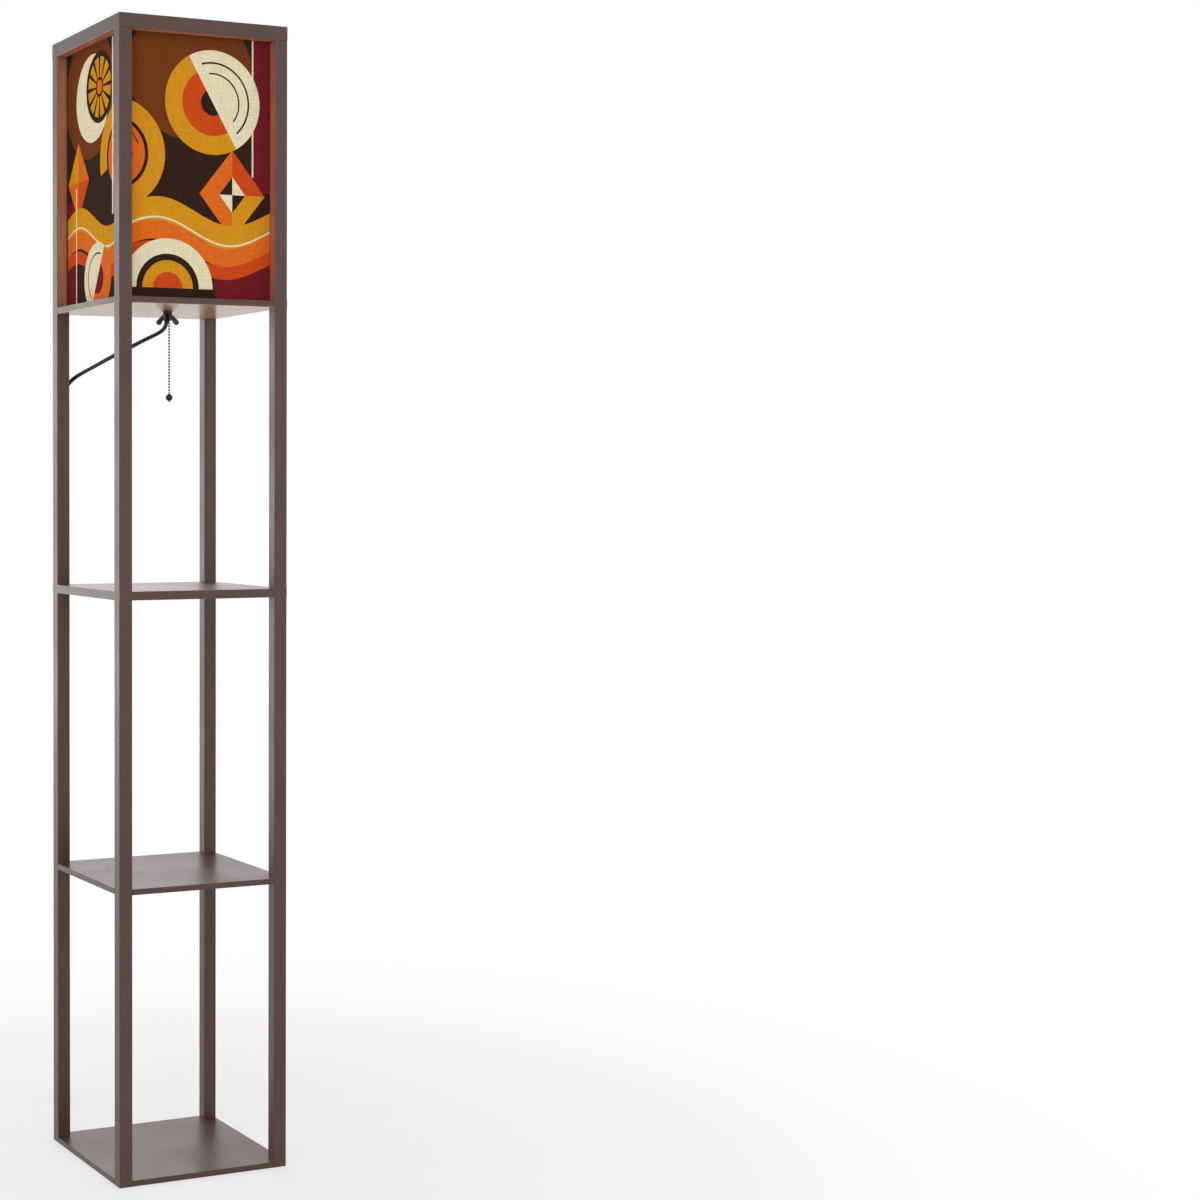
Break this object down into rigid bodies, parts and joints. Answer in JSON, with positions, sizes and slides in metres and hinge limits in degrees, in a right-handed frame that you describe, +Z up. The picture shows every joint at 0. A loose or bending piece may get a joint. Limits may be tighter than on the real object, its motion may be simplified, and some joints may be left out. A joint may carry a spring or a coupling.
{
  "type": "shelf floor lamp",
  "caption": "Square wooden floor lamp: tall post frame with three open shelves under a printed fabric shade, lit by a bulb in a pull-chain holder.",
  "frame": {"origin": "centre of the square footprint on the floor, at the underside of the bottom shelf and posts", "axes": "+X to the lamp's right seen from the front, +Y to the back, +Z up; the front and the left side face the picture's viewer"},
  "size_m": [0.254, 0.478, 1.6],
  "materials": {
    "painted_wood": "satin dark taupe-brown lacquer on solid wood",
    "painted_board": "satin dark taupe-brown lacquer on fibreboard",
    "white_laminate": "warm white, semi-gloss",
    "printed_fabric": "printed linen weave, lit from inside",
    "shade_liner": "translucent matt styrene sheet",
    "beech_dowel": "bare fluted beech",
    "zinc_steel": "bright zinc plated",
    "brass": "plain turned brass",
    "black_nickel": "polished black nickel",
    "black_plastic": "moulded, satin black",
    "spring_steel": "drawn wire",
    "socket_metal": "satin brass-plated cup",
    "black_pvc": "semi-matt black flat lead",
    "bulb_glass": "frosted white glass",
    "bulb_cap_metal": "rolled aluminium screw cap",
    "plug_brass": "nickel-plated brass blades"
  },
  "bodies": {
    "frame": {"lower_post_front_left": "painted_wood", "middle_post_front_left": "painted_wood", "shade_post_front_left": "painted_wood", "lower_post_front_right": "painted_wood", "middle_post_front_right": "painted_wood", "shade_post_front_right": "painted_wood", "lower_post_back_left": "painted_wood", "middle_post_back_left": "painted_wood", "shade_post_back_left": "painted_wood", "lower_post_back_right": "painted_wood", "middle_post_back_right": "painted_wood", "shade_post_back_right": "painted_wood", "top_rail_front": "painted_wood", "shade_fabric_front": "printed_fabric", "shade_liner_front": "shade_liner", "top_rail_back": "painted_wood", "shade_fabric_back": "printed_fabric", "shade_liner_back": "shade_liner", "top_rail_left": "painted_wood", "shade_fabric_left": "printed_fabric", "shade_liner_left": "shade_liner", "top_rail_right": "painted_wood", "shade_fabric_right": "printed_fabric", "shade_liner_right": "shade_liner", "bottom_shelf": "painted_board", "middle_shelf": "painted_board", "upper_shelf": "painted_board", "shade_plate": "painted_board", "plate_lining": "white_laminate", "shelf_dowels": "beech_dowel", "frame_dowels": "beech_dowel", "joining_studs": "zinc_steel", "clip_nails": "zinc_steel", "nipple_lock_nut": "zinc_steel", "threaded_inserts": "brass", "lamp_nipple": "brass", "centre_contact": "brass", "screw_shell": "brass", "flange_washer": "black_nickel", "cord_bushing": "black_plastic", "cord_clips": "black_plastic", "switch_block": "black_plastic", "socket_shell": "black_plastic", "plug_body": "black_plastic", "switch_spring": "spring_steel", "socket_cap": "socket_metal", "cord": "black_pvc", "inner_lead": "black_pvc", "plug_blades": "plug_brass"},
    "hand_nut": {"hand_nut": "black_nickel"},
    "bulb": {"bulb_glass": "bulb_glass", "bulb_cap": "bulb_cap_metal", "bulb_contact": "bulb_cap_metal"},
    "pull": {"switch_plunger": "black_plastic", "chain_upper_run": "black_nickel"},
    "chain_swivel": {"chain_swivel_bead": "black_nickel"},
    "chain_drop": {"chain_drop": "black_nickel", "pull_ball": "black_nickel"}
  },
  "joints": [
    {"name": "chain_pull", "type": "slide", "parent": "frame", "child": "pull", "axis": [0, 0, -1], "range_m": [0, 0.006], "stiffness_N_per_m": 150, "deforming": ["switch_spring"]},
    {"name": "chain_swing_side", "type": "hinge", "parent": "pull", "child": "chain_swivel", "pos_m": [0.0017, -0.0017, 1.18375], "axis": [0, 1, 0], "range_deg": [-30, 30]},
    {"name": "chain_swing_front", "type": "hinge", "parent": "chain_swivel", "child": "chain_drop", "pos_m": [0.0017, -0.0017, 1.18375], "axis": [1, 0, 0], "range_deg": [-30, 30]},
    {"name": "hand_nut_turn", "type": "hinge", "parent": "frame", "child": "hand_nut", "pos_m": [0, 0, 1.2], "axis": [0, 0, 1], "continuous": true},
    {"name": "bulb_turn", "type": "hinge", "parent": "frame", "child": "bulb", "pos_m": [0, 0, 1.26], "axis": [0, 0, 1], "continuous": true}
  ]
}
